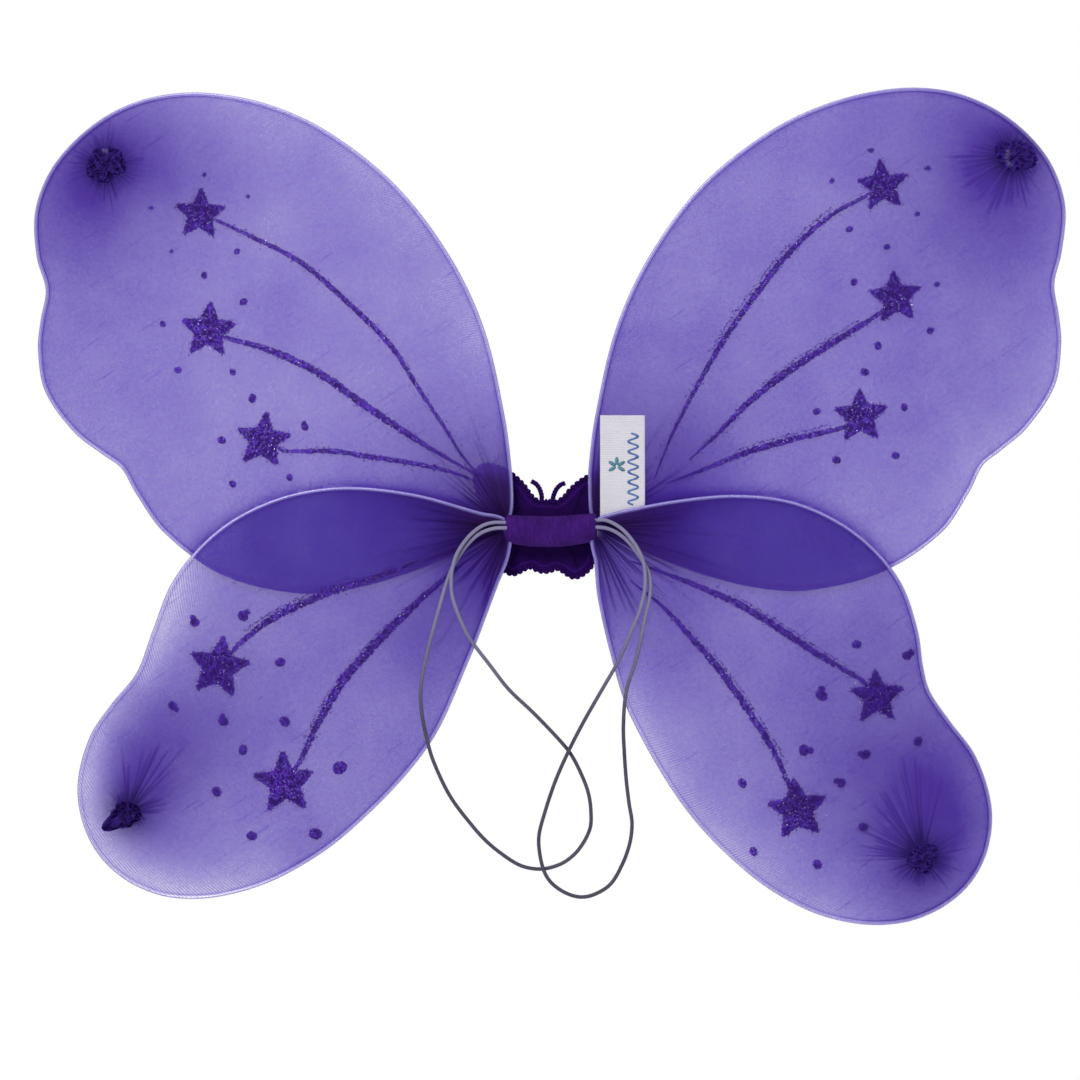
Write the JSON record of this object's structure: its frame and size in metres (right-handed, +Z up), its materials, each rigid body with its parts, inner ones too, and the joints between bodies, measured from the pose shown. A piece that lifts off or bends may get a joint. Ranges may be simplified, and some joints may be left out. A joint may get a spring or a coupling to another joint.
{
  "type": "fairy wings",
  "caption": "Wearable fairy wings: nylon stretched over wire loops, tied tip gathers, a felt centre band with a butterfly patch, and elastic arm loops.",
  "frame": {"origin": "centre of the felt band's flat front face, which lies against the wearer's back between the shoulder blades", "axes": "+Z up as worn, +X along the wing span to the right as seen by someone looking at the side that meets the wearer, +Y away from the wearer"},
  "size_m": [0.4703, 0.0225, 0.381],
  "materials": {
    "lilac_nylon": "sheer knitted nylon, two layers, satin",
    "spring_steel": "drawn wire",
    "purple_thread": "matt polyester thread",
    "purple_felt": "soft brushed felt",
    "dark_purple_lace": "embroidered, matt",
    "lilac_elastic": "braided round elastic, slight sheen",
    "white_ribbon": "ribbed grosgrain"
  },
  "bodies": {
    "centre": {"centre_band": "purple_felt", "core_lashing": "purple_thread", "upper_wire_tails": "spring_steel", "lower_wire_tails": "spring_steel", "left_elastic_knot": "lilac_elastic", "right_elastic_knot": "lilac_elastic", "left_elastic_loop": "lilac_elastic", "right_elastic_loop": "lilac_elastic", "patch_base": "dark_purple_lace", "patch_edge_cord": "dark_purple_lace", "patch_body": "dark_purple_lace", "left_antenna": "dark_purple_lace", "right_antenna": "dark_purple_lace"},
    "lower_left_wing": {"lower_left_wire": "spring_steel", "lower_left_cover": "lilac_nylon", "lower_left_root_tie": "purple_thread", "lower_left_tip_gather": "lilac_nylon", "lower_left_tip_tie": "purple_thread"},
    "lower_right_wing": {"lower_right_wire": "spring_steel", "lower_right_cover": "lilac_nylon", "lower_right_root_tie": "purple_thread", "lower_right_tip_gather": "lilac_nylon", "lower_right_tip_tie": "purple_thread", "label_ribbon": "white_ribbon"},
    "upper_left_wing": {"upper_left_wire": "spring_steel", "upper_left_cover": "lilac_nylon", "upper_left_root_tie": "purple_thread", "upper_left_tip_gather": "lilac_nylon", "upper_left_tip_tie": "purple_thread"},
    "upper_right_wing": {"upper_right_wire": "spring_steel", "upper_right_cover": "lilac_nylon", "upper_right_root_tie": "purple_thread", "upper_right_tip_gather": "lilac_nylon", "upper_right_tip_tie": "purple_thread"}
  },
  "joints": [
    {"name": "lower_left_flex", "type": "hinge", "parent": "centre", "child": "lower_left_wing", "pos_m": [-0.0215, 0.0082, 0], "axis": [0, 0, -1], "range_deg": [0, 30], "stiffness_Nm_per_rad": 0.05},
    {"name": "upper_left_flex", "type": "hinge", "parent": "lower_left_wing", "child": "upper_left_wing", "pos_m": [-0.0215, 0.0082, 0], "axis": [0, 0, -1], "range_deg": [0, 10], "stiffness_Nm_per_rad": 0.05},
    {"name": "lower_right_flex", "type": "hinge", "parent": "centre", "child": "lower_right_wing", "pos_m": [0.0215, 0.0082, 0], "axis": [0, 0, 1], "range_deg": [0, 30], "stiffness_Nm_per_rad": 0.05},
    {"name": "upper_right_flex", "type": "hinge", "parent": "lower_right_wing", "child": "upper_right_wing", "pos_m": [0.0215, 0.0082, 0], "axis": [0, 0, 1], "range_deg": [0, 10], "stiffness_Nm_per_rad": 0.05}
  ]
}
